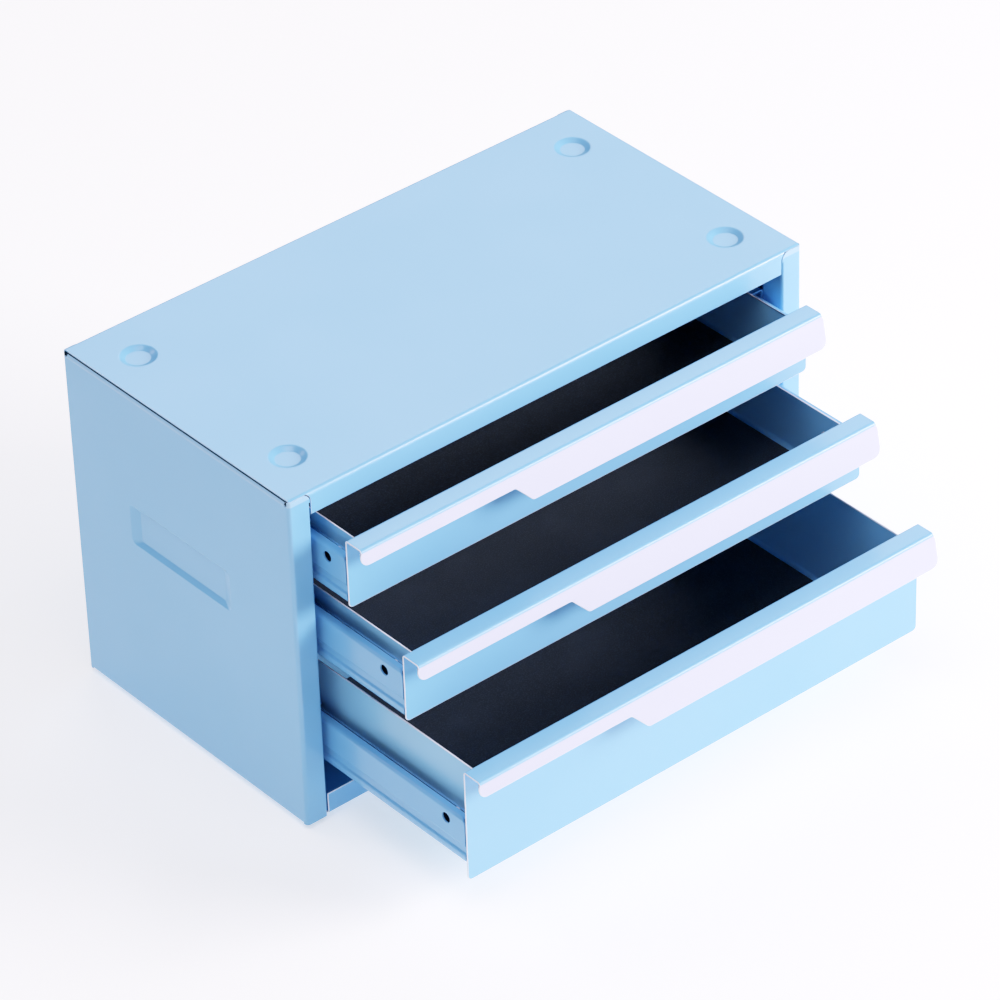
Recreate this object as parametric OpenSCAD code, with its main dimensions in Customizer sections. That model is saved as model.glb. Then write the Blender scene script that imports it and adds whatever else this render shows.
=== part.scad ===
// Compact three-drawer steel tool chest with its drawers standing part open.
// X is the width, the drawers open towards -Y and Z is up. The origin is on the
// floor under the centre of the cabinet, between the four rubber feet.

/* [Cabinet] */
// Width over the side panels
cabinet_w = 350; // [320:1:420]
// Depth from the front flanges to the back flanges
cabinet_d = 188; // [180:1:240]
// Thickness of the panels, trays and drawer fronts
sheet_t = 0.8; // [0.6:0.1:1]
// Outside radius of the cabinet's long folded edges
edge_r = 2.2; // [1.6:0.1:3]
// Outside radius of the fold along the top of each side panel
side_fold_r = 3.2; // [2:0.1:4]
// Outside radius of the smaller folds
fold_r = 1.5; // [1.2:0.1:2]
// Width of the front flange on each side panel
flange_w = 13.8; // [12:0.1:18]
// Depth of the return behind each front flange
return_d = 15; // [12:0.5:18]
// Width of the back flange on each side panel
back_flange_w = 12; // [10:0.5:16]
// Width of the hidden top and bottom flanges on each side panel
inner_flange_w = 10; // [6:0.5:12]
// Height of the lip along the front and back of the top panel
top_lip_h = 13.5; // [10:0.5:20]
// Height of the lip along the front of the bottom panel
bottom_lip_h = 13; // [8:0.5:20]
// Gap between a flange and the lip beside it
seam_gap = 0.6; // [0.4:0.1:1]
// How far the top panel's edge is set in from the side panel's face
top_inset = 0.9; // [0.6:0.1:1.4]
// Radius of the top inner corner of each flange
flange_corner_r = 4.5; // [3:0.5:6]

/* [Stacking] */
// Distance of the feet and the top recesses from the sides of the cabinet
foot_inset_x = 25.5; // [23:0.5:45]
// Distance of the feet and the top recesses from the front and back of the cabinet
foot_inset_y = 32; // [26:0.5:44]
// Diameter of a foot
foot_d = 12.5; // [10:0.5:13]
// Gap between the floor and the side panels
floor_gap = 3; // [2:0.5:6]
// Diameter of a top recess at its rim
recess_d = 20; // [18:0.5:24]
// Diameter of a top recess at its floor
recess_floor_d = 13.5; // [13:0.5:16]
// Depth of a top recess
recess_depth = 1.7; // [1.2:0.1:2.5]

/* [Side recess] */
// Length of the pressed rectangle on each side
press_l = 84; // [50:1:110]
// Height of the pressed rectangle
press_h = 25.5; // [16:0.5:40]
// Depth of the pressed rectangle
press_depth = 2; // [1:0.1:2.5]
// Distance of its centre behind the middle of the cabinet
press_y = 2; // [-15:1:15]
// Height of its centre above the lower edge of the side panel
press_z = 122; // [60:0.5:150]

/* [Drawers] */
// Height of the two upper drawer fronts
shallow_front_h = 42; // [38:1:60]
// Height of the bottom drawer front
deep_front_h = 70; // [60:1:110]
// Gap above, between and below the drawer fronts
front_gap = 6.4; // [5:0.1:9]
// Gap between the end of a drawer front and the flange beside it
front_side_gap = 3.7; // [3:0.1:5]
// Space between the trays and the back of the cabinet when the drawers are shut
tray_back_gap = 16; // [15:0.5:30]
// Distance from the top of a drawer front down to the edge of its tray
tray_drop = 5.3; // [4:0.1:8]
// Distance from the bottom of a drawer front up to its tray
tray_lift = 1; // [0.6:0.1:3]
// Thickness of the mat in each tray
liner_t = 1.2; // [1:0.1:2]
// Outside radius of the folds along the bottom of each tray
tray_r = 3.2; // [1.6:0.1:4]
// Gap between the edge of each mat and the folds along the tray floor
liner_gap = 0.6; // [0.3:0.1:1.5]
// How far the top drawer stands open
drawer_1_open = 23; // [0:1:130]
// How far the middle drawer stands open
drawer_2_open = 65; // [0:1:130]
// How far the bottom drawer stands open
drawer_3_open = 110; // [0:1:130]
// Full travel of each drawer
drawer_travel = 130; // [115:1:130]

/* [Pulls] */
// How far the pull ledge reaches forward
ledge_d = 12.5; // [10:0.5:16]
// Height of the narrow left part of the pull lip
lip_narrow_h = 9.2; // [8:0.2:11]
// Height of the wide right part of the pull lip
lip_wide_h = 19.8; // [14:0.2:22]
// Angle by which the lip leans forward at its lower edge
lip_lean = 11; // [4:1:15]
// Length of the narrow part, from the left end to the step
lip_narrow_l = 101; // [60:1:160]
// Sideways length of the step between narrow and wide
lip_step_l = 10; // [8:0.5:16]
// How far the lip reaches past each end of the ledge
lip_overhang = 0.8; // [0.4:0.1:2]

/* [Slides] */
// Height of a drawer rail
rail_h = 29.3; // [29:0.1:31]
// Height of the bottom drawer's rails above their tray floor
deep_rail_lift = 7.8; // [2:0.2:16]
// Space between a tray's side and the end of its front, filled by the rail
rail_space = 9.3; // [8.5:0.1:10.5]
// Distance that a rail's face is set in from the end of the drawer front
rail_inset = 0.4; // [0.2:0.1:0.6]
// Thickness of the fixed channels
channel_t = 1; // [0.8:0.1:1.2]
// Running clearance between a rail and its channel
run_gap = 0.5; // [0.4:0.1:0.6]
// Diameter of the access holes in the drawer rails
access_d = 6.2; // [5:0.1:6.6]
// Distance of the front access hole from the front end of its rail
access_inset = 14.5; // [10:0.5:20]
// Distance of the rear access hole from the rear end of its rail
rear_access_inset = 20.5; // [14:0.5:30]

/* [Hidden] */

$fn = 48;
bend_steps = 6;
cut = 1;
overlap = 0.2;

paint = [0.68, 0.85, 0.96];
lip_paint = [0.92, 0.9, 0.98];
liner_colour = [0.08, 0.09, 0.11];
rubber_colour = [0.12, 0.12, 0.13];
zinc_colour = [0.72, 0.73, 0.75];

// Cabinet planes
x_out = cabinet_w / 2;
y_front = -cabinet_d / 2;
y_back = cabinet_d / 2;
x_flange = x_out - flange_w;
x_back_flange = x_out - back_flange_w;
z_low = floor_gap;
z_floor = z_low + sheet_t;
z_bottom_lip = z_floor + bottom_lip_h;
z_top = z_bottom_lip + 4 * front_gap + 2 * shallow_front_h + deep_front_h + top_lip_h;
z_under_top = z_top - sheet_t;
corner_l = edge_r + sheet_t;
flange_top_zone = flange_corner_r + sheet_t;
relief_w = 0.7;
edge_gap = 0.3;

// Drawer planes: each list runs from the top drawer to the bottom one
front_h = [shallow_front_h, shallow_front_h, deep_front_h];
drawer_open = [drawer_1_open, drawer_2_open, drawer_3_open];
rail_lift = [0, 0, deep_rail_lift];
front_x = x_flange - front_side_gap;
tray_x = front_x - rail_space;
rail_x = front_x - rail_inset;
// Top of drawer i's front
function front_top(i) = i == 0 ? z_top - top_lip_h - front_gap
    : front_top(i - 1) - front_h[i - 1] - front_gap;
function front_low(i) = front_top(i) - front_h[i];
function tray_low(i) = front_low(i) + tray_lift;
function tray_top(i) = front_top(i) - tray_drop;
function rail_low(i) = tray_low(i) + rail_lift[i];
function rail_top(i) = rail_low(i) + rail_h;
front_r = 3;
front_back_y = y_front + sheet_t;
rail_front_gap = 1.2;
rail_front_y = front_back_y + rail_front_gap;
tray_back_y = y_back - tray_back_gap;
rail_back_inset = 2;
rail_back_y = tray_back_y - rail_back_inset;

// Pull lip
ledge_y = front_back_y - ledge_d;
lip_r = 2;
lip_tip_r = 5;
lip_step_r = 3.5;
lip_end_x = front_x + lip_overhang;

// Drawer rail section
rail_top_r = 2;
rail_low_r = 4;
rail_lip_w = 4.2;
crease_drop = 16.9;
groove_d = 1;
groove_slope = 1.2;
groove_h = 6.4;
rail_nose_r = 4;
access_drop = 6.7;
rail_leg_drop = access_drop - 2.5;
access_places = [rail_front_y + access_inset, rail_back_y - rear_access_inset];

// Channel section, stops and brackets
channel_low_gap = 0.4;
channel_reach = 1.4;
bead_top = 5;
bead_h = 11;
bead_slope = 1.6;
bead_face_x = rail_x + run_gap;
stop_t = 1;
stop_gap = 0.3;
stop_top = 16.8;
stop_h = 5;
stop_side_gap = 0.8;
tab_inset = 2.5;
channel_tab_y = y_front + tab_inset;
channel_front_y = y_front + return_d + stop_gap;
closed_stop_y = rail_back_y + stop_gap;
channel_end_l = 4;
channel_back_y = closed_stop_y + stop_t + channel_end_l;
open_stop_y = rail_back_y - drawer_travel - stop_t - stop_gap;
open_stop_l = 4;
bracket_face_l = 14;
bracket_y = channel_back_y - bracket_face_l;
bracket_foot_l = 9;

// Rivets
rivet_r = 1.6;
rivet_head_r = 3;
small_head_r = 2.4;
rivet_head_h = 1;
rivet_tail_r = 2.3;
rivet_tail_h = 0.7;
rivet_fit = 0.05;
channel_rivet_drop = 25.4;
front_rivet_inset = 5.5;
front_rivet_y = y_front + return_d - front_rivet_inset;
rear_rivet_y = closed_stop_y - rivet_head_r - edge_gap;
back_rivet_x = x_out - back_flange_w / 2;
back_rivet_rows = 4;
back_rivet_columns = [-0.31, 0, 0.31] * cabinet_w;
back_rivet_margin = 8;
back_rivet_low = z_floor + bottom_lip_h / 2;
back_rivet_top = z_top - top_lip_h / 2;
back_rivet_first = z_bottom_lip + back_rivet_margin;
back_rivet_last = z_top - top_lip_h - back_rivet_margin;
back_rivet_heights = [for (k = [0 : back_rivet_rows - 1])
    back_rivet_first + k * (back_rivet_last - back_rivet_first) / (back_rivet_rows - 1)];

// Feet and the recesses above them
foot_x = x_out - foot_inset_x;
foot_y = y_back - foot_inset_y;
recess_blank_r = recess_d / 2 + 2.5;
recess_rim_r = 3;
recess_floor_r = 2;
foot_h = floor_gap + sheet_t;
foot_stem_r = 2.6;
foot_barb_r = 4;
foot_barb_h = 2;
foot_fit = 0.1;

// ---- Bent sheet ----

function turned(v, a) = [v[0] * cos(a) - v[1] * sin(a), v[0] * sin(a) + v[1] * cos(a)];
function heading(a, b) = (b - a) / norm(b - a);
function left_of(d) = [-d[1], d[0]];
function turn_angle(d, e) = atan2(d[0] * e[1] - d[1] * e[0], d[0] * e[0] + d[1] * e[1]);

// Points of one bend at corner c: s is 0 for the drawn face and 1 for the face behind it.
// The sheet lies to the left of the drawn line, and r is the outside radius of the bend.
function bend_points(a, c, b, r, t, s) =
    let (d = heading(a, c), angle = turn_angle(d, heading(c, b)), n = left_of(d))
    let (side = sign(angle), skin = side > 0 ? r : r - t)
    let (centre = c - d * skin * tan(abs(angle) / 2) + side * skin * n)
    [for (k = [0 : bend_steps]) let (m = turned(n, angle * k / bend_steps))
        centre - side * skin * m + s * t * m];

function face_points(path, radii, t, s) =
    let (last = len(path) - 1)
    let (first_n = left_of(heading(path[0], path[1])))
    let (last_n = left_of(heading(path[last - 1], path[last])))
    concat(
        [path[0] + s * t * first_n],
        [for (i = [1 : last - 1]) each
            bend_points(path[i - 1], path[i], path[i + 1], radii[i - 1], t, s)],
        [path[last] + s * t * last_n]
    );

// Closed outline with its corners rounded
function rounded_outline(points, radii) =
    let (n = len(points))
    [for (i = [0 : n - 1]) each
        bend_points(points[(i + n - 1) % n], points[i], points[(i + 1) % n], radii[i], 0, 0)];

function backwards(list) = [for (i = [len(list) - 1 : -1 : 0]) list[i]];

// Section of a sheet bent along a path, as seen from its end
module bent_sheet(path, radii, t = sheet_t) {
    polygon(concat(face_points(path, radii, t, 0), backwards(face_points(path, radii, t, 1))));
}

module along_x(from, to) {
    translate([from, 0, 0]) rotate([90, 0, 90]) linear_extrude(to - from) children();
}

module along_y(from, to) {
    translate([0, to, 0]) rotate([90, 0, 0]) linear_extrude(to - from) children();
}

module along_z(from, to) {
    translate([0, 0, from]) linear_extrude(to - from) children();
}

module both_sides() {
    children();
    mirror([1, 0, 0]) children();
}

module box(low, high) {
    translate(low) cube(high - low);
}

// Rectangle with its own radius at each corner: low left, low right, high right, high left
module rounded_box_2d(low, high, r, facets = $fn) {
    difference() {
        translate(low) square(high - low);
        for (c = [
            [[low[0], low[1]], [1, 1], r[0]], [[high[0], low[1]], [-1, 1], r[1]],
            [[high[0], high[1]], [-1, -1], r[2]], [[low[0], high[1]], [1, -1], r[3]]
        ]) if (c[2] > 0) corner_waste_2d(c[0], c[1], c[2], facets);
    }
}

// What a rounded corner takes off a square one: dir points into the shape
module corner_waste_2d(corner, dir, r, facets = $fn) {
    translate(corner) scale([dir[0], dir[1]]) difference() {
        translate([-cut, -cut]) square(r + cut);
        translate([r, r]) circle(r, $fn = facets);
    }
}

// ---- Rivet along -Y: its head stands out at y = 0 and it holds what lies behind ----

module rivet(grip, head_r = rivet_head_r) {
    rotate([90, 0, 0]) rotate_extrude() polygon([
        [0, -grip - rivet_tail_h], [rivet_tail_r, -grip - rivet_tail_h],
        [rivet_tail_r, -grip], [rivet_r, -grip], [rivet_r, 0], [head_r, 0],
        [head_r * 0.94, rivet_head_h * 0.45], [head_r * 0.72, rivet_head_h * 0.8],
        [head_r * 0.4, rivet_head_h * 0.97], [0, rivet_head_h]
    ]);
}

module rivet_hole(length) {
    rotate([-90, 0, 0]) translate([0, 0, -cut]) cylinder(r = rivet_r + rivet_fit, h = length + 2 * cut);
}

// ---- Cabinet ----

// Outline of a flange's top inner corner, grown by a gap, for the right-hand side
module flange_corner_2d(x_inner, gap) {
    intersection() {
        union() {
            translate([x_inner - gap, z_low - cut])
                square([flange_w + gap, z_under_top - flange_corner_r - z_low + cut]);
            translate([x_inner + flange_corner_r, z_under_top - flange_corner_r])
                circle(flange_corner_r + gap);
            translate([x_inner + flange_corner_r, z_low]) square([flange_w, z_under_top - z_low]);
        }
        translate([x_inner - flange_w, z_low - cut]) square([3 * flange_w, z_under_top - z_low + cut]);
    }
}

module top_panel() {
    skin = [
        [y_back, z_top - top_lip_h], [y_back, z_top], [y_front, z_top], [y_front, z_top - top_lip_h]
    ];
    half_w = x_out - top_inset;
    color(paint) difference() {
        union() {
            difference() {
                along_x(-half_w, half_w) bent_sheet(skin, [edge_r, edge_r]);
                recess_places() cylinder(r = recess_blank_r, h = 4 * sheet_t, center = true);
            }
            recess_places() stacking_recess();
        }
        both_sides() along_y(y_front - cut, y_front + edge_r + cut) flange_corner_2d(x_flange, seam_gap);
        both_sides() along_y(y_back - edge_r - cut, y_back + cut) flange_corner_2d(x_back_flange, seam_gap);
        for (x = back_rivet_columns) translate([x, y_back - sheet_t, back_rivet_top]) rivet_hole(sheet_t);
    }
}

module recess_places() {
    for (x = [-foot_x, foot_x], y = [-foot_y, foot_y]) translate([x, y, z_top]) children();
}

module stacking_recess() {
    rotate_extrude() bent_sheet(
        [
            [recess_blank_r + overlap, 0], [recess_d / 2, 0],
            [recess_floor_d / 2, -recess_depth], [0, -recess_depth]
        ],
        [recess_rim_r, recess_floor_r]
    );
}

// Left-hand side panel
module side_panel() {
    difference() {
        union() {
            along_z(z_low, z_under_top - flange_top_zone) bent_sheet([
                [-x_out, y_front + corner_l], [-x_out, y_front],
                [-x_flange, y_front], [-x_flange, y_front + return_d]
            ], [edge_r, fold_r]);
            intersection() {
                along_z(z_under_top - flange_top_zone - overlap, z_under_top) bent_sheet([
                    [-x_out, y_front + corner_l], [-x_out, y_front], [-x_flange, y_front]
                ], [edge_r]);
                mirror([1, 0, 0]) along_y(y_front - cut, y_front + corner_l + cut)
                    flange_corner_2d(x_flange, 0);
            }
            intersection() {
                along_z(z_low, z_under_top) bent_sheet([
                    [-x_back_flange, y_back], [-x_out, y_back], [-x_out, y_back - corner_l]
                ], [edge_r]);
                mirror([1, 0, 0]) along_y(y_back - corner_l - cut, y_back + cut)
                    flange_corner_2d(x_back_flange, 0);
            }
            along_y(y_front + corner_l - overlap, y_back - corner_l + overlap) bent_sheet([
                [-x_out + inner_flange_w, z_under_top], [-x_out, z_under_top],
                [-x_out, z_low], [-x_out + inner_flange_w, z_low]
            ], [side_fold_r, fold_r]);
            intersection() {
                pressed_rectangle(sheet_t);
                along_z(z_low, z_top) translate([-x_out, y_front]) square([flange_w, cabinet_d]);
            }
        }
        pressed_rectangle(0);
        for (y = [y_front + corner_l - relief_w, y_back - corner_l])
            box([-x_out - cut, y, z_under_top - side_fold_r], [-x_out + inner_flange_w, y + relief_w, z_top]);
        for (i = [0 : 2])
            translate([-x_flange - sheet_t, front_rivet_y, rail_top(i) - channel_rivet_drop])
                rotate([0, 0, -90]) rivet_hole(sheet_t);
        for (z = back_rivet_heights)
            translate([-back_rivet_x, y_back - sheet_t, z]) rivet_hole(sheet_t);
    }
}

// Sloping-sided block that presses the side recess, grown on all sides by an offset
module pressed_rectangle(offset) {
    slope_y = 6.4;
    slope_z = 2.8;
    rim_r = 3;
    floor_r = 1.5;
    rim = [press_l / 2 + offset, press_h / 2 + offset];
    floor_half = [press_l / 2 - slope_y + offset, press_h / 2 - slope_z + offset];
    translate([0, press_y, z_low + press_z]) hull() {
        along_x(-x_out - cut, -x_out + offset)
            rounded_box_2d(-rim, rim, [rim_r, rim_r, rim_r, rim_r], 16);
        along_x(-x_out, -x_out + press_depth + offset)
            rounded_box_2d(-floor_half, floor_half, [floor_r, floor_r, floor_r, floor_r], 16);
    }
}

module left_side_panel() {
    color(paint) side_panel();
}

module right_side_panel() {
    color(paint) mirror([1, 0, 0]) side_panel();
}

module bottom_panel() {
    y_rear = y_back - 2 * sheet_t;
    half_w = x_out - fold_r - edge_gap;
    color(paint) difference() {
        along_x(-half_w, half_w) bent_sheet([
            [y_front, z_bottom_lip], [y_front, z_floor], [y_rear, z_floor], [y_rear, z_bottom_lip]
        ], [fold_r, fold_r]);
        both_sides() box(
            [x_flange - seam_gap, y_front - cut, z_low],
            [x_out, y_front + return_d + seam_gap, z_bottom_lip + cut]
        );
        both_sides() box([x_back_flange, y_rear - 2 * fold_r, z_low], [x_out, y_back, z_bottom_lip + cut]);
        for (x = [-foot_x, foot_x], y = [-foot_y, foot_y])
            translate([x, y, z_floor - cut]) cylinder(r = foot_stem_r + foot_fit, h = sheet_t + 2 * cut);
        for (x = back_rivet_columns) translate([x, y_rear - sheet_t, back_rivet_low]) rivet_hole(sheet_t);
    }
}

module back_panel() {
    half_w = x_out - edge_r - edge_gap;
    color(paint) difference() {
        box([-half_w, y_back - 2 * sheet_t, z_floor], [half_w, y_back - sheet_t, z_top - edge_r - edge_gap]);
        both_sides() for (z = back_rivet_heights)
            translate([back_rivet_x, y_back - 2 * sheet_t, z]) rivet_hole(sheet_t);
        for (x = back_rivet_columns, z = [back_rivet_low, back_rivet_top])
            translate([x, y_back - 2 * sheet_t, z]) rivet_hole(sheet_t);
    }
}

// Left-hand upright that carries the rear ends of the channels
module rear_bracket() {
    foot_x = -x_out + sheet_t;
    face_x = -x_flange - sheet_t;
    difference() {
        along_z(z_floor + sheet_t + edge_gap, z_under_top - side_fold_r - edge_gap) bent_sheet([
            [foot_x, bracket_y + bracket_face_l + bracket_foot_l], [foot_x, bracket_y + bracket_face_l],
            [face_x, bracket_y + bracket_face_l], [face_x, bracket_y]
        ], [fold_r, fold_r]);
        for (i = [0 : 2])
            translate([-x_flange - sheet_t, rear_rivet_y, rail_top(i) - channel_rivet_drop])
                rotate([0, 0, -90]) rivet_hole(sheet_t);
    }
}

module left_rear_bracket() {
    color(paint) rear_bracket();
}

module right_rear_bracket() {
    color(paint) mirror([1, 0, 0]) rear_bracket();
}

// Left-hand fixed channel of drawer i, open towards the drawer
module channel(i) {
    high = rail_top(i) + run_gap + channel_t;
    low = rail_low(i) - channel_low_gap - channel_t;
    inner_x = -tray_x - channel_reach;
    bead_x = -bead_face_x - channel_t;
    bead_high = rail_top(i) - bead_top;
    bead_low = bead_high - bead_h;
    stop_high = rail_top(i) - stop_top;
    difference() {
        union() {
            along_y(channel_front_y, channel_back_y) bent_sheet([
                [inner_x, high], [-x_flange, high], [-x_flange, bead_high],
                [bead_x, bead_high - bead_slope], [bead_x, bead_low + bead_slope], [-x_flange, bead_low],
                [-x_flange, low], [inner_x, low]
            ], [fold_r, fold_r, fold_r, fold_r, fold_r, fold_r], channel_t);
            box([-x_flange, channel_tab_y, low + fold_r],
                [-x_flange + channel_t, channel_front_y + cut, bead_low]);
            box([-x_flange + channel_t - overlap, open_stop_y - open_stop_l, stop_high - stop_h],
                [-rail_x - stop_side_gap, open_stop_y, stop_high]);
            box([-x_flange + channel_t - overlap, closed_stop_y, low + channel_t - overlap],
                [inner_x, closed_stop_y + stop_t, stop_high]);
        }
        for (y = [front_rivet_y, rear_rivet_y])
            translate([-x_flange, y, rail_top(i) - channel_rivet_drop])
                rotate([0, 0, -90]) rivet_hole(channel_t);
    }
}

module drawer_1_left_channel() { color(paint) channel(0); }
module drawer_1_right_channel() { color(paint) mirror([1, 0, 0]) channel(0); }
module drawer_2_left_channel() { color(paint) channel(1); }
module drawer_2_right_channel() { color(paint) mirror([1, 0, 0]) channel(1); }
module drawer_3_left_channel() { color(paint) channel(2); }
module drawer_3_right_channel() { color(paint) mirror([1, 0, 0]) channel(2); }

module channel_rivets() {
    color(zinc_colour) both_sides() for (i = [0 : 2], y = [front_rivet_y, rear_rivet_y])
        translate([-x_flange + channel_t, y, rail_top(i) - channel_rivet_drop])
            rotate([0, 0, 90]) rivet(channel_t + sheet_t);
}

module panel_rivets() {
    color(zinc_colour) {
        both_sides() for (z = back_rivet_heights)
            translate([back_rivet_x, y_back, z]) rotate([0, 0, 180]) rivet(2 * sheet_t);
        for (x = back_rivet_columns) {
            translate([x, y_back, back_rivet_top]) rotate([0, 0, 180]) rivet(2 * sheet_t);
            translate([x, y_back - sheet_t, back_rivet_low]) rotate([0, 0, 180]) rivet(2 * sheet_t);
        }
    }
}

// Push-in rubber foot: pad, stem through the bottom panel, and barb above it
module foot(x, y) {
    color(rubber_colour) translate([x, y, 0]) {
        cylinder(d = foot_d, h = foot_h);
        cylinder(r = foot_stem_r, h = z_floor + sheet_t + foot_barb_h);
        translate([0, 0, z_floor + sheet_t]) cylinder(r1 = foot_barb_r, r2 = foot_stem_r, h = foot_barb_h);
    }
}

module front_left_foot() { foot(-foot_x, -foot_y); }
module front_right_foot() { foot(foot_x, -foot_y); }
module rear_left_foot() { foot(-foot_x, foot_y); }
module rear_right_foot() { foot(foot_x, foot_y); }

// ---- Drawers ----

module slid(i) {
    translate([0, -drawer_open[i], 0]) children();
}

// Folded front of drawer i: plate, ledge, and the stepped lip of the pull
module drawer_front(i) {
    high = front_top(i);
    low = front_low(i);
    lean = lip_wide_h * tan(lip_lean);
    slid(i) {
        color(paint) intersection() {
            along_x(-front_x - cut, front_x + cut)
                bent_sheet([[front_back_y, low], [front_back_y, high], [ledge_y + lip_r, high]], [fold_r]);
            along_y(ledge_y, front_back_y + cut)
                rounded_box_2d([-front_x, low], [front_x, high + cut], [front_r, front_r, 0, 0]);
        }
        color(lip_paint) intersection() {
            along_x(-lip_end_x - cut, lip_end_x + cut)
                bent_sheet([
                    [ledge_y + lip_r, high], [ledge_y, high], [ledge_y - lean, high - lip_wide_h]
                ], [lip_r]);
            along_y(ledge_y - lean - cut, ledge_y + lip_r + cut) lip_outline_2d(high);
        }
    }
}

// Front view of the lip: narrow on the left, a slanted step, and wide on the right
module lip_outline_2d(high) {
    ledge_end_z = high - lip_r * 0.6;
    narrow_z = high - lip_narrow_h;
    wide_z = high - lip_wide_h;
    step_x = -lip_end_x + lip_narrow_l;
    end_r = 0.38 * (ledge_end_z - narrow_z);
    end_low_r = 0.58 * (ledge_end_z - narrow_z);
    polygon(rounded_outline(
        [
            [-lip_end_x, narrow_z], [step_x, narrow_z], [step_x + lip_step_l, wide_z],
            [lip_end_x, wide_z], [lip_end_x, ledge_end_z], [-lip_end_x, ledge_end_z]
        ],
        [end_low_r, lip_step_r, lip_step_r, lip_tip_r, end_r, end_r]
    ));
    translate([-front_x, ledge_end_z - cut]) square([2 * front_x, high - ledge_end_z + 2 * cut]);
}

module drawer_1_front() { drawer_front(0); }
module drawer_2_front() { drawer_front(1); }
module drawer_3_front() { drawer_front(2); }

// Folded tray of drawer i, with its front and back walls
module tray(i) {
    low = tray_low(i);
    high = tray_top(i);
    outline = [[-tray_x, high], [-tray_x, low], [tray_x, low], [tray_x, high]];
    slid(i) color(paint) difference() {
        along_y(front_back_y, tray_back_y) polygon(face_points(outline, [tray_r, tray_r], sheet_t, 0));
        along_y(front_back_y + sheet_t, tray_back_y - sheet_t) polygon(concat(
            [[-tray_x + sheet_t, high + cut]],
            face_points(outline, [tray_r, tray_r], sheet_t, 1),
            [[tray_x - sheet_t, high + cut]]
        ));
        both_sides() for (y = access_places)
            translate([-tray_x, y, rail_top(i) - access_drop]) rotate([0, 0, -90]) rivet_hole(sheet_t);
    }
}

module drawer_1_tray() { tray(0); }
module drawer_2_tray() { tray(1); }
module drawer_3_tray() { tray(2); }

module liner(i) {
    half_w = tray_x - tray_r - liner_gap;
    corner = 2;
    low = tray_low(i) + sheet_t;
    slid(i) color(liner_colour) along_z(low, low + liner_t) rounded_box_2d(
        [-half_w, front_back_y + sheet_t + liner_gap], [half_w, tray_back_y - sheet_t - liner_gap],
        [corner, corner, corner, corner]
    );
}

module drawer_1_liner() { liner(0); }
module drawer_2_liner() { liner(1); }
module drawer_3_liner() { liner(2); }

// Left-hand rail of drawer i: a folded channel with a lip along its top, a pressed groove in its
// face, and an inner leg against the tray
module rail(i) {
    high = rail_top(i);
    low = rail_low(i);
    crease = high - crease_drop;
    in_x = -rail_x + groove_d;
    stop_high = high - stop_top;
    slid(i) difference() {
        union() {
            intersection() {
                along_y(rail_front_y, rail_back_y) bent_sheet([
                    [-rail_x + rail_lip_w, high], [-rail_x, high],
                    [-rail_x, crease], [in_x, crease - groove_slope],
                    [in_x, crease - groove_h + groove_slope], [-rail_x, crease - groove_h],
                    [-rail_x, low], [-tray_x, low], [-tray_x, high - rail_leg_drop]
                ], [rail_top_r, fold_r, fold_r, fold_r, fold_r, rail_low_r, fold_r]);
                along_x(-front_x, -tray_x) rounded_box_2d(
                    [rail_front_y, low], [rail_back_y, high], [rail_nose_r, 0, 0, rail_nose_r]
                );
            }
            box([-x_flange + channel_t + stop_side_gap, rail_back_y - stop_t, stop_high - stop_h],
                [in_x + overlap, rail_back_y, stop_high]);
        }
        for (y = access_places)
            translate([-rail_x - cut, y, high - access_drop]) rotate([0, 90, 0])
                cylinder(d = access_d, h = cut + 2 * sheet_t);
        for (y = access_places)
            translate([-tray_x - sheet_t, y, high - access_drop]) rotate([0, 0, -90]) rivet_hole(sheet_t);
    }
}

module drawer_1_left_rail() { color(paint) rail(0); }
module drawer_1_right_rail() { color(paint) mirror([1, 0, 0]) rail(0); }
module drawer_2_left_rail() { color(paint) rail(1); }
module drawer_2_right_rail() { color(paint) mirror([1, 0, 0]) rail(1); }
module drawer_3_left_rail() { color(paint) rail(2); }
module drawer_3_right_rail() { color(paint) mirror([1, 0, 0]) rail(2); }

// Rivets that hold drawer i's rails to its tray, behind the access holes
module rail_rivets(i) {
    slid(i) color(zinc_colour) both_sides() for (y = access_places)
        translate([-tray_x - sheet_t, y, rail_top(i) - access_drop])
            rotate([0, 0, -90]) rivet(2 * sheet_t, small_head_r);
}

module drawer_1_rail_rivets() { rail_rivets(0); }
module drawer_2_rail_rivets() { rail_rivets(1); }
module drawer_3_rail_rivets() { rail_rivets(2); }

top_panel();
left_side_panel();
right_side_panel();
bottom_panel();
back_panel();
left_rear_bracket();
right_rear_bracket();
drawer_1_left_channel();
drawer_1_right_channel();
drawer_2_left_channel();
drawer_2_right_channel();
drawer_3_left_channel();
drawer_3_right_channel();
channel_rivets();
panel_rivets();
front_left_foot();
front_right_foot();
rear_left_foot();
rear_right_foot();
drawer_1_front();
drawer_1_tray();
drawer_1_liner();
drawer_1_left_rail();
drawer_1_right_rail();
drawer_1_rail_rivets();
drawer_2_front();
drawer_2_tray();
drawer_2_liner();
drawer_2_left_rail();
drawer_2_right_rail();
drawer_2_rail_rivets();
drawer_3_front();
drawer_3_tray();
drawer_3_liner();
drawer_3_left_rail();
drawer_3_right_rail();
drawer_3_rail_rivets();
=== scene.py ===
import math

import bmesh
import bpy
from mathutils import Matrix, Vector


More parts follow.
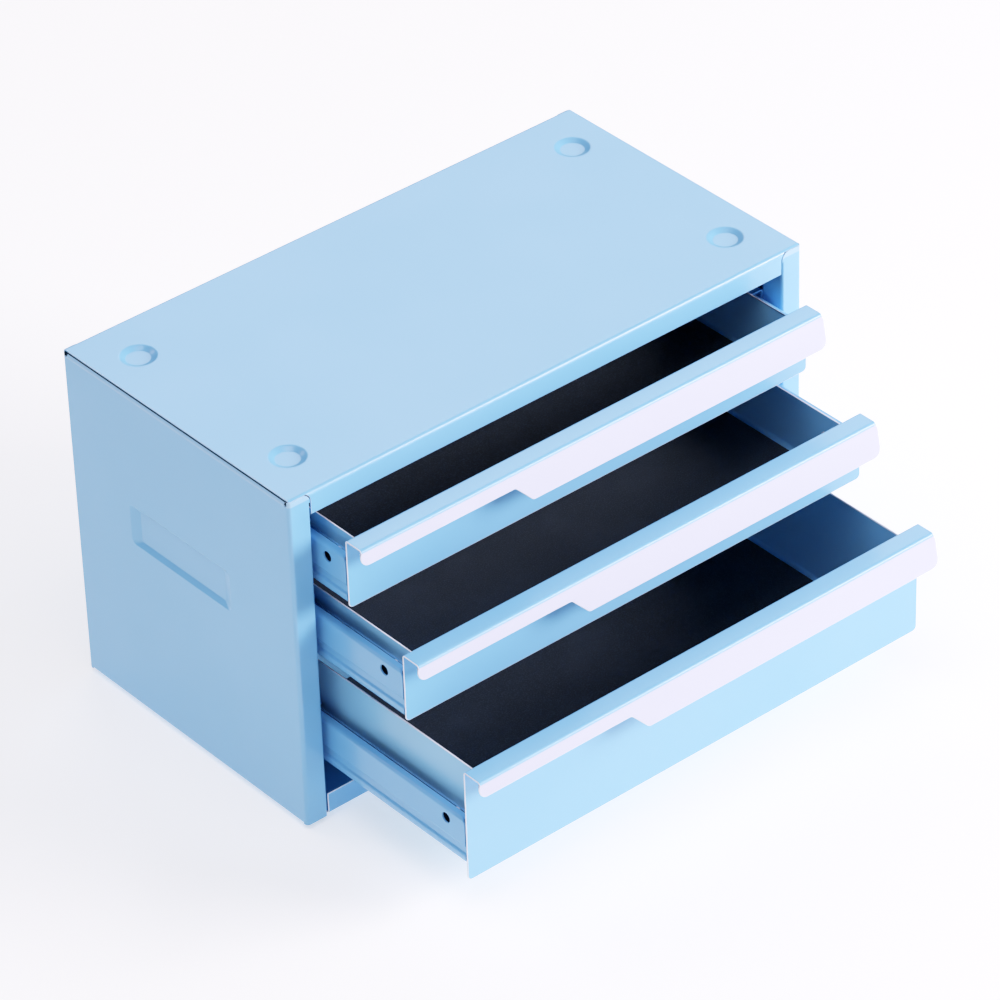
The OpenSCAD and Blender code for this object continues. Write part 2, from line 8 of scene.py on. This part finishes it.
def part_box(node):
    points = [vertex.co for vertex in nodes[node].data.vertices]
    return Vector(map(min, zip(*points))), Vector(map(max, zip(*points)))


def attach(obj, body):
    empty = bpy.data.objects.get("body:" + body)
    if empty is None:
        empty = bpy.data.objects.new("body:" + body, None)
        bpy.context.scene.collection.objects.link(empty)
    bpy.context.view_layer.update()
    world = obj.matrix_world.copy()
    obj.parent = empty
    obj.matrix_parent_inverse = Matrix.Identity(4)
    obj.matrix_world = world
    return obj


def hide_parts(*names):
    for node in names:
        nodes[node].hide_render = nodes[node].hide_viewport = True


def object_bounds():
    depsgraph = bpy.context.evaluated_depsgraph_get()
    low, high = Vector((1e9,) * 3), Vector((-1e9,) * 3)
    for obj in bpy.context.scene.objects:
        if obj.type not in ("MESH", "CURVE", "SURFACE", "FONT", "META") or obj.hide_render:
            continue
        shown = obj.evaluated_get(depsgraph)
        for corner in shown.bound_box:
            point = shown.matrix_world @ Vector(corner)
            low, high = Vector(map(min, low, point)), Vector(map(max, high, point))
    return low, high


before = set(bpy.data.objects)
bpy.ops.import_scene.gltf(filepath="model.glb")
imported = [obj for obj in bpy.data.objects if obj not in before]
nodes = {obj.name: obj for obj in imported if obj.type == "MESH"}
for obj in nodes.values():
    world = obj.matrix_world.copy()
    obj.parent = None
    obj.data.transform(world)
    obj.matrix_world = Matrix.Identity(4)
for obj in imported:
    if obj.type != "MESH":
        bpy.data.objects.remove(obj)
cadLow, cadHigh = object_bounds()
scene = bpy.context.scene


# Camera with the photograph's turn, height and roll
cameraView = {
    "turn": -39.35, "height": 35.49, "roll": 1.96,  # degrees
    "aim": Vector((0, 0, 0.103)),
    "across": -0.03093, "up": 0.02055, "back": 3.0257,  # of the aim point, in the camera's own axes
    "lens": 5635.7 * 36 / 1000,  # focal length in pixels of a 1000 px wide picture, made mm
    "sensor": 36, "farthest": 20,  # mm, metres
}


def aimCamera(view):
    turn, height, roll = (math.radians(view[key]) for key in ("turn", "height", "roll"))
    back = Vector((math.sin(turn) * math.cos(height), -math.cos(turn) * math.cos(height), math.sin(height)))
    right = Vector((math.cos(turn), math.sin(turn), 0))
    up = back.cross(right)
    rolledRight = right * math.cos(roll) - up * math.sin(roll)
    rolledUp = right * math.sin(roll) + up * math.cos(roll)
    place = view["aim"] - rolledRight * view["across"] - rolledUp * view["up"] + back * view["back"]
    lensData = bpy.data.cameras.new("photoCamera")
    lensData.lens = view["lens"]
    lensData.sensor_width = view["sensor"]
    lensData.clip_end = view["farthest"]
    photoCamera = bpy.data.objects.new("photoCamera", lensData)
    axes = Matrix((rolledRight, rolledUp, back)).transposed().to_4x4()
    photoCamera.matrix_world = Matrix.Translation(place) @ axes
    scene.collection.objects.link(photoCamera)
    scene.camera = photoCamera


aimCamera(cameraView)
print("camera placed")


def newMaterial(name):
    material = bpy.data.materials.new(name)
    material.use_nodes = True
    tree = material.node_tree
    shader = tree.nodes["Principled BSDF"]
    return material, tree, shader


def addNode(tree, kind, values=None, **settings):
    node = tree.nodes.new(kind)
    for key, value in settings.items():
        setattr(node, key, value)
    for key, value in (values or {}).items():
        node.inputs[key].default_value = value
    return node


def noiseField(tree, coords, scale, detail=3.0, stretch=(1, 1, 1)):
    mapping = addNode(tree, "ShaderNodeMapping", {"Scale": stretch})
    noise = addNode(tree, "ShaderNodeTexNoise", {"Scale": scale, "Detail": detail, "Roughness": 0.55})
    tree.links.new(coords.outputs["Object"], mapping.inputs["Vector"])
    tree.links.new(mapping.outputs["Vector"], noise.inputs["Vector"])
    return noise.outputs["Fac"]


def rangeOf(tree, source, low, high, toLow, toHigh):
    node = addNode(tree, "ShaderNodeMapRange", {
        "From Min": low, "From Max": high, "To Min": toLow, "To Max": toHigh,
    }, interpolation_type="SMOOTHSTEP")
    tree.links.new(source, node.inputs["Value"])
    return node.outputs["Result"]


def distanceFromMiddle(tree, source):
    distance = addNode(tree, "ShaderNodeMath", operation="ABSOLUTE")
    tree.links.new(source, distance.inputs[0])
    return distance.outputs["Value"]


def bothOf(tree, first, second):
    product = addNode(tree, "ShaderNodeMath", operation="MULTIPLY")
    tree.links.new(first, product.inputs[0])
    tree.links.new(second, product.inputs[1])
    return product.outputs["Value"]


def placeOf(tree, coords):
    place = addNode(tree, "ShaderNodeSeparateXYZ")
    tree.links.new(coords.outputs["Object"], place.inputs["Vector"])
    return place.outputs


# The mix node's colour sockets share their names with others, so they go by number
def mixColours(tree, factor, first, second):
    node = addNode(tree, "ShaderNodeMix", data_type="RGBA")
    tree.links.new(factor, node.inputs[0])
    for socket, colour in ((node.inputs[6], first), (node.inputs[7], second)):
        if isinstance(colour, tuple):
            socket.default_value = (*colour, 1)
        else:
            tree.links.new(colour, socket)
    return node.outputs[2]


def bumpFrom(tree, height, strength, distance, before=None):
    bump = addNode(tree, "ShaderNodeBump", {"Strength": strength, "Distance": distance})
    tree.links.new(height, bump.inputs["Height"])
    if before is not None:
        tree.links.new(before, bump.inputs["Normal"])
    return bump.outputs["Normal"]


midNoise = (0.3, 0.7)  # where nearly all of a noise field's values lie


# Satin powder coat: slow drift of tone, fine speckle, and the skin of a baked powder in the bump
def powderCoat(name, coat):
    material, tree, shader = newMaterial(name)
    coords = addNode(tree, "ShaderNodeTexCoord")
    drift = noiseField(tree, coords, coat["driftScale"], 2)
    speckle = noiseField(tree, coords, coat["speckleScale"], 2)
    base = mixColours(tree, rangeOf(tree, drift, *midNoise, 0, 1), coat["deep"], coat["pale"])
    base = mixColours(tree, rangeOf(tree, speckle, *coat["fleckSpan"], 0, coat["speckle"]), base, coat["fleck"])
    tree.links.new(base, shader.inputs["Base Color"])
    tree.links.new(rangeOf(tree, speckle, *midNoise, *coat["gloss"]), shader.inputs["Roughness"])
    skin = noiseField(tree, coords, coat["skinScale"], 4, coat["stretch"])
    tree.links.new(bumpFrom(tree, skin, coat["skin"], coat["skinDepth"]), shader.inputs["Normal"])
    shader.inputs["Specular IOR Level"].default_value = coat["shine"]
    return material, tree, shader, coords, base


cabinetCoat = {
    "deep": (0.165, 0.45, 0.785), "pale": (0.18, 0.468, 0.81), "fleck": (0.24, 0.52, 0.85), "speckle": 0.1,
    "fleckSpan": (0.62, 0.8), "gloss": (0.2, 0.27), "shine": 0.55, "driftScale": 9, "speckleScale": 1100,
    "skinScale": 620, "skin": 0.03, "skinDepth": 0.0001, "stretch": (1, 1, 1),
}
# Painted shade: darker copies of the cabinet paint for the bottom sheet, rear brackets, rails and channels
shadeDarkenedCoat = dict(cabinetCoat, deep=(0.125, 0.385, 0.73), pale=(0.137, 0.402, 0.755))
railCoat = dict(shadeDarkenedCoat, gloss=(0.18, 0.25), stretch=(1, 0.12, 1), skin=0.06)
# Painted light: a lighter, greener copy for the trays, lifting the shade on their inner walls
trayLightenedCoat = dict(cabinetCoat, deep=(0.19, 0.49, 0.782), pale=(0.205, 0.508, 0.805))
# Painted highlight: near-white paint for the rounded sawn edges
edgeHighlightCoat = dict(cabinetCoat, deep=(0.78, 0.85, 0.95), pale=(0.82, 0.88, 0.96), fleck=(0.84, 0.9, 0.97))

cabinetPaint = powderCoat("cabinetPaint", cabinetCoat)[0]
shadeDarkenedPaint = powderCoat("shadeDarkenedPaint", shadeDarkenedCoat)[0]
edgeHighlightPaint = powderCoat("edgeHighlightPaint", edgeHighlightCoat)[0]


# Top sheet's edges: pale on the left, a painted highlight; near-black on the right, painted shade in the seam
topEdgeShade = {"fromX": 0.15, "soft": 0.002, "tone": (0.004, 0.009, 0.016)}


def topEdgeHighlightAndShade():
    material, tree, shader, coords, base = powderCoat("topEdgeHighlightAndShade", edgeHighlightCoat)
    fromX = topEdgeShade["fromX"]
    shade = rangeOf(tree, placeOf(tree, coords)["X"], fromX, fromX + topEdgeShade["soft"], 0, 1)
    tree.links.new(mixColours(tree, shade, base, topEdgeShade["tone"]), shader.inputs["Base Color"])
    tree.links.new(rangeOf(tree, shade, 0, 1, edgeHighlightCoat["shine"], 0), shader.inputs["Specular IOR Level"])
    return material


# Rails: painted outside; the inner leg, which shows only through the access holes, is painted near-black as
# painted shade inside the channel
paintedLegShade = {"outerX": 0.1495, "from": -0.0281, "to": -0.0046, "soft": 0.0003, "tone": (0.006, 0.009, 0.015)}


def railPaintWithShadedLeg():
    material, tree, shader, coords, base = powderCoat("railPaint", railCoat)
    place = placeOf(tree, coords)
    across = distanceFromMiddle(tree, place["X"])
    soft = paintedLegShade["soft"]
    share = rangeOf(tree, across, paintedLegShade["outerX"] - soft, paintedLegShade["outerX"], 1, 0)
    for low, toLow, toHigh in ((paintedLegShade["from"], 0, 1), (paintedLegShade["to"], 1, 0)):
        share = bothOf(tree, share, rangeOf(tree, place["Z"], low, low + soft, toLow, toHigh))
    tree.links.new(mixColours(tree, share, base, paintedLegShade["tone"]), shader.inputs["Base Color"])
    return material


railPaint = railPaintWithShadedLeg()
trayPaint = powderCoat("trayPaint", trayLightenedCoat)[0]

# Side sheets: the top fold is painted lighter, a painted highlight, under a dark seam of painted shade with a
# painted shade notch at each end
sideShadeAndHighlight = {
    "edgeX": cadHigh.x - 0.00075, "fromZ": cadHigh.z - 0.0019, "halfY": 0.0925, "soft": 0.00008,
    "notchFromY": 0.0903, "notchDrop": 0.0013, "notchOut": 0.0009, "tone": (0.008, 0.024, 0.04),
    "foldFromZ": cadHigh.z - 0.0042, "foldSoft": 0.0005, "foldHighlightShare": 0.8, "foldHighlightTone": (0.33, 0.58, 0.85),
}


def sidePaintWithShadeAndHighlight():
    material, tree, shader, coords, base = powderCoat("sidePaint", cabinetCoat)
    place = placeOf(tree, coords)
    soft = sideShadeAndHighlight["soft"]
    sideDistance, endDistance = (distanceFromMiddle(tree, place[axis]) for axis in "XY")
    notchShade = rangeOf(tree, endDistance, sideShadeAndHighlight["notchFromY"], sideShadeAndHighlight["notchFromY"] + soft, 0, 1)
    height = addNode(tree, "ShaderNodeMath", {1: sideShadeAndHighlight["notchDrop"]}, operation="MULTIPLY_ADD")
    tree.links.new(notchShade, height.inputs[0])
    tree.links.new(place["Z"], height.inputs[2])
    sideways = addNode(tree, "ShaderNodeMath", {1: -sideShadeAndHighlight["notchOut"]}, operation="MULTIPLY_ADD")
    tree.links.new(notchShade, sideways.inputs[0])
    tree.links.new(sideDistance, sideways.inputs[2])
    shade = rangeOf(tree, height.outputs["Value"], sideShadeAndHighlight["fromZ"], sideShadeAndHighlight["fromZ"] + soft, 0, 1)
    for distance, limit in ((sideways.outputs["Value"], sideShadeAndHighlight["edgeX"]), (endDistance, sideShadeAndHighlight["halfY"])):
        shade = bothOf(tree, shade, rangeOf(tree, distance, limit - soft, limit, 1, 0))
    foldFromZ = sideShadeAndHighlight["foldFromZ"]
    foldHighlight = rangeOf(tree, place["Z"], foldFromZ, foldFromZ + sideShadeAndHighlight["foldSoft"], 0, sideShadeAndHighlight["foldHighlightShare"])
    base = mixColours(tree, foldHighlight, base, sideShadeAndHighlight["foldHighlightTone"])
    tree.links.new(mixColours(tree, shade, base, sideShadeAndHighlight["tone"]), shader.inputs["Base Color"])
    tree.links.new(rangeOf(tree, shade, 0, 1, cabinetCoat["shine"], 0), shader.inputs["Specular IOR Level"])
    return material


sidePaint = sidePaintWithShadeAndHighlight()

lipReflection = {  # distances from the ledge's front bend, in metres
    "deep": (0.545, 0.572, 0.80), "pale": (0.575, 0.602, 0.83),
    "lipTop": -0.0021, "lipBack": 0.003, "soft": 0.0009, "driftScale": 14,
}


# Fronts: the pull lip is painted pale lilac-white from just below the ledge's front bend, a painted reflection
# of the lamps on the plate's blue paint
def frontPaintWithLipReflection():
    material, tree, shader, coords, base = powderCoat("frontPaint", cabinetCoat)
    place = placeOf(tree, coords)
    soft = lipReflection["soft"]
    plateShare = addNode(tree, "ShaderNodeMath", operation="MAXIMUM")
    for number, (axis, limit) in enumerate((("Z", lipReflection["lipTop"]), ("Y", lipReflection["lipBack"]))):
        share = rangeOf(tree, place[axis], limit, limit + soft, 0, 1)
        tree.links.new(share, plateShare.inputs[number])
    drift = noiseField(tree, coords, lipReflection["driftScale"], 2)
    lipTone = mixColours(tree, drift, lipReflection["deep"], lipReflection["pale"])
    tree.links.new(mixColours(tree, plateShare.outputs["Value"], lipTone, base), shader.inputs["Base Color"])
    return material


frontPaint = frontPaintWithLipReflection()

matLook = {
    "deep": (0.012, 0.02, 0.03), "pale": (0.036, 0.053, 0.076),
    "grainScale": 1500, "grainSpan": (0.4, 0.75), "grain": 0.5, "grainDepth": 0.0003,
    "cellScale": 1200, "cells": 0.25, "cellDepth": 0.0002,
    "cloudScale": 30, "cloudSpan": (0.4, 0.9), "cloud": 0.4, "gloss": (0.75, 0.95), "shine": 0.25,
}


def foamMat():
    material, tree, shader = newMaterial("foamMat")
    coords = addNode(tree, "ShaderNodeTexCoord")
    grain = noiseField(tree, coords, matLook["grainScale"], 5)
    cloud = noiseField(tree, coords, matLook["cloudScale"], 3)
    cells = addNode(tree, "ShaderNodeTexVoronoi", {"Scale": matLook["cellScale"]})
    tree.links.new(coords.outputs["Object"], cells.inputs["Vector"])
    tone = mixColours(tree, rangeOf(tree, grain, *matLook["grainSpan"], 0, 1), matLook["deep"], matLook["pale"])
    cloudShare = rangeOf(tree, cloud, *matLook["cloudSpan"], 0, matLook["cloud"])
    tone = mixColours(tree, cloudShare, tone, matLook["pale"])
    tree.links.new(tone, shader.inputs["Base Color"])
    normal = bumpFrom(tree, grain, matLook["grain"], matLook["grainDepth"])
    normal = bumpFrom(tree, cells.outputs["Distance"], matLook["cells"], matLook["cellDepth"], normal)
    tree.links.new(normal, shader.inputs["Normal"])
    tree.links.new(rangeOf(tree, grain, *midNoise, *matLook["gloss"]), shader.inputs["Roughness"])
    shader.inputs["Specular IOR Level"].default_value = matLook["shine"]
    return material


footLook = {
    "deep": (0.014, 0.014, 0.015), "pale": (0.03, 0.03, 0.032), "gloss": (0.65, 0.85),
    "scale": 900, "grain": 0.3, "grainDepth": 0.0002,
}


def mouldedRubber():
    material, tree, shader = newMaterial("footRubber")
    coords = addNode(tree, "ShaderNodeTexCoord")
    grain = noiseField(tree, coords, footLook["scale"], 4)
    tree.links.new(mixColours(tree, grain, footLook["deep"], footLook["pale"]), shader.inputs["Base Color"])
    tree.links.new(bumpFrom(tree, grain, footLook["grain"], footLook["grainDepth"]), shader.inputs["Normal"])
    tree.links.new(rangeOf(tree, grain, *midNoise, *footLook["gloss"]), shader.inputs["Roughness"])
    return material


zincLook = {
    "deep": (0.45, 0.46, 0.48), "pale": (0.66, 0.67, 0.69), "gloss": (0.28, 0.5), "metal": 1,
    "scale": 1300, "grain": 0.15, "grainDepth": 0.0001,
}
# Painted highlight: the rail rivets take paler, less metallic zinc, so they catch light inside the dark access
# holes
glintZincLook = dict(zincLook, pale=(0.75, 0.8, 0.85), metal=0.3)


def zincPlate(name, look):
    material, tree, shader = newMaterial(name)
    coords = addNode(tree, "ShaderNodeTexCoord")
    spangle = noiseField(tree, coords, look["scale"], 3)
    tree.links.new(mixColours(tree, spangle, look["deep"], look["pale"]), shader.inputs["Base Color"])
    tree.links.new(rangeOf(tree, spangle, *midNoise, *look["gloss"]), shader.inputs["Roughness"])
    tree.links.new(bumpFrom(tree, spangle, look["grain"], look["grainDepth"]), shader.inputs["Normal"])
    shader.inputs["Metallic"].default_value = look["metal"]
    return material


foamMatBlack = foamMat()
footRubber = mouldedRubber()
rivetZinc = zincPlate("rivetZinc", zincLook)
railRivetGlintZinc = zincPlate("railRivetGlintZinc", glintZincLook)
print("materials made:", len(bpy.data.materials))


# Folded sheet: every sawn edge gets a small round in pale edge paint, a painted highlight; the bends stay
# smooth (metres and degrees)
sheetEdges = {"round": 0.00039, "steps": 3, "sawnFrom": 50, "creaseFrom": 16, "flatWithin": 0.4, "weld": 2e-6}
# Only these sheets take the full round: on the others very short edges hold it back,
# and without that limit the left side sheet tears
fullyRounded = ("FrontSheet", "TraySheet", "bottomSheet", "backSheet")


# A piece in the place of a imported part: same sheet, its sawn edges rounded over
def softenedPiece(
        part, pieceName, body, paint, origin=Vector((0, 0, 0)), look=sheetEdges, edge=edgeHighlightPaint):
    shape = bmesh.new()
    shape.from_mesh(nodes[part].data)
    bmesh.ops.remove_doubles(shape, verts=shape.verts, dist=look["weld"])
    bmesh.ops.dissolve_limit(
        shape, angle_limit=math.radians(look["flatWithin"]), verts=shape.verts, edges=shape.edges)
    bmesh.ops.translate(shape, verts=shape.verts, vec=-origin)
    for face in shape.faces:
        face.smooth = True
    for line in shape.edges:
        line.smooth = line.calc_face_angle(0) < math.radians(look["creaseFrom"])
    skin = bpy.data.meshes.new(pieceName)
    shape.to_mesh(skin)
    shape.free()
    skin.materials.clear()
    skin.materials.append(paint)
    skin.materials.append(edge)
    piece = bpy.data.objects.new(pieceName, skin)
    piece.location = origin
    scene.collection.objects.link(piece)
    rounding = piece.modifiers.new("roundedEdges", "BEVEL")
    rounding.width = look["round"]
    rounding.segments = look["steps"]
    rounding.limit_method = "ANGLE"
    rounding.angle_limit = math.radians(look["sawnFrom"])
    # the rounds take the edge slot's painted highlight
    rounding.material = 1
    rounding.miter_outer = "MITER_ARC"
    rounding.use_clamp_overlap = not pieceName.endswith(fullyRounded)
    evenShade = piece.modifiers.new("flatFacesStayFlat", "WEIGHTED_NORMAL")
    evenShade.keep_sharp = True
    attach(piece, body)
    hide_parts(part)


cabinetSheets = {
    "top_panel": ("topSheet", cabinetPaint, topEdgeHighlightAndShade()),
    "left_side_panel": ("leftSideSheet", sidePaint, edgeHighlightPaint),
    "right_side_panel": ("rightSideSheet", sidePaint, edgeHighlightPaint),
    "bottom_panel": ("bottomSheet", shadeDarkenedPaint, edgeHighlightPaint),
    "back_panel": ("backSheet", cabinetPaint, edgeHighlightPaint),
}
for part, (pieceName, paint, edge) in cabinetSheets.items():
    softenedPiece(part, pieceName, "cabinet", paint, edge=edge)
print("cabinet sheets done")

matEdges = dict(sheetEdges, round=0.0004)
pullLip = {"height": 0.0198, "lean": 11}  # metres, degrees
for number in (1, 2, 3):
    drawer = f"drawer_{number}"
    frontLow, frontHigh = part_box(f"{drawer}_front")
    leanDepth = pullLip["height"] * math.tan(math.radians(pullLip["lean"]))
    ledgeFront = Vector((0, frontLow.y + leanDepth, frontHigh.z))  # the front's paint is masked from here
    softenedPiece(f"{drawer}_front", f"{drawer}FrontSheet", drawer, frontPaint, ledgeFront)
    softenedPiece(f"{drawer}_tray", f"{drawer}TraySheet", drawer, trayPaint)
    softenedPiece(
        f"{drawer}_liner", f"{drawer}Mat", drawer, foamMatBlack, look=matEdges, edge=foamMatBlack)
    for side in ("left", "right"):
        rail = f"{drawer}_{side}_rail"
        railTop = Vector((0, 0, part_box(rail)[1].z))
        softenedPiece(rail, f"{drawer}{side.title()}Rail", drawer, railPaint, railTop)
print("drawers done")


def repaint(part, paint):
    slots = nodes[part].material_slots
    if not slots:
        nodes[part].data.materials.append(paint)
    for slotOfPart in slots:
        slotOfPart.material = paint


keptFinishes = {
    "left_rear_bracket": shadeDarkenedPaint, "right_rear_bracket": shadeDarkenedPaint,
    "channel_rivets": rivetZinc, "panel_rivets": rivetZinc,
    "front_left_foot": footRubber, "front_right_foot": footRubber,
    "rear_left_foot": footRubber, "rear_right_foot": footRubber,
}
for number in (1, 2, 3):
    keptFinishes[f"drawer_{number}_rail_rivets"] = railRivetGlintZinc
    for side in ("left", "right"):
        keptFinishes[f"drawer_{number}_{side}_channel"] = railPaint
for part, paint in keptFinishes.items():
    repaint(part, paint)
print("kept parts finished:", len(keptFinishes))


studio = {
    "floorHalf": 3.0, "floorSteps": 24, "floorTone": (0.96, 0.96, 0.96), "fibreScale": 300, "fibreShade": 0.985,
    "floorRough": 0.9, "floorShine": 0.1, "glowTone": (1, 1, 1, 1), "floorGlow": 0.26, "worldPower": 0.0,
}


def layFloor():
    shape = bmesh.new()
    bmesh.ops.create_grid(
        shape, x_segments=studio["floorSteps"], y_segments=studio["floorSteps"], size=studio["floorHalf"])
    sheet = bpy.data.meshes.new("studioFloor")
    shape.to_mesh(sheet)
    shape.free()
    material, tree, shader = newMaterial("floorPaper")
    coords = addNode(tree, "ShaderNodeTexCoord")
    fibre = noiseField(tree, coords, studio["fibreScale"], 3)
    tone = studio["floorTone"]
    fibreTone = tuple(level * studio["fibreShade"] for level in tone)
    tree.links.new(mixColours(tree, fibre, tone, fibreTone), shader.inputs["Base Color"])
    shader.inputs["Roughness"].default_value = studio["floorRough"]
    shader.inputs["Specular IOR Level"].default_value = studio["floorShine"]
    shader.inputs["Emission Color"].default_value = studio["glowTone"]
    shader.inputs["Emission Strength"].default_value = studio["floorGlow"]
    sheet.materials.append(material)
    floor = bpy.data.objects.new("studioFloor", sheet)
    scene.collection.objects.link(floor)


def lightWorld():
    world = bpy.data.worlds.new("studioWorld")
    world.use_nodes = True
    background = world.node_tree.nodes["Background"]
    background.inputs["Strength"].default_value = studio["worldPower"]
    scene.world = world


warmLilac, coolLilac = (1.0, 0.905, 1.0), (0.94, 0.92, 1.0)
softboxes = {  # place, width and height in metres, power in watts
    "rightFrontSoftbox": {"at": (1.7, -1.9, 1.1), "wide": 1.4, "high": 1.0, "power": 40, "tone": warmLilac},
    "rightFrontLowSoftbox": {"at": (1.9, -1.7, 1.0), "wide": 1.4, "high": 1.0, "power": 19, "tone": warmLilac},
    "rightSoftbox": {"at": (2.4, -1.0, 0.85), "wide": 1.2, "high": 0.8, "power": 16, "tone": warmLilac},
    "topSoftbox": {"at": (-0.5, -0.4, 2.35), "wide": 1.8, "high": 1.4, "power": 17, "tone": (0.885, 0.87, 1.0)},
    "backRightSoftbox": {"at": (1.3, 1.6, 1.7), "wide": 1.4, "high": 1.2, "power": 8, "tone": coolLilac},
    "backLeftSoftbox": {"at": (-1.0, 2.1, 1.6), "wide": 1.4, "high": 1.2, "power": 9, "tone": (1.0, 0.86, 1.0)},
    "leftSoftbox": {"at": (-2.3, -0.5, 0.8), "wide": 1.2, "high": 1.0, "power": 1.8, "tone": (0.96, 0.9, 1.0)},
}
aimPoint = Vector((0, -0.05, 0.1))


def hangSoftbox(name, box):
    lamp = bpy.data.lights.new(name, "AREA")
    lamp.shape = "RECTANGLE"
    lamp.size = box["wide"]
    lamp.size_y = box["high"]
    lamp.energy = box["power"]
    lamp.color = box["tone"]
    holder = bpy.data.objects.new(name, lamp)
    holder.location = box["at"]
    towards = aimPoint - Vector(box["at"])
    holder.rotation_euler = towards.to_track_quat("-Z", "Y").to_euler()
    scene.collection.objects.link(holder)


layFloor()
lightWorld()
for name, box in softboxes.items():
    hangSoftbox(name, box)


# Tone curve of the photograph: steep in the darks, rolled off towards white
development = {"rollOff": 3.0, "toe": 1.07, "levels": (0.01, 0.03, 0.07, 0.14, 0.25, 0.42, 0.68)}


def developPicture():
    settings = scene.view_settings
    settings.view_transform = "Standard"
    settings.use_curve_mapping = True
    tone = settings.curve_mapping.curves[3]  # the curve for all three colours
    rollOff = development["rollOff"]
    for level in development["levels"]:
        lifted = level ** development["toe"]
        tone.points.new(level, lifted * (1 + rollOff) / (1 + rollOff * lifted))
    settings.curve_mapping.update()


developPicture()
print("floor and lamps placed")
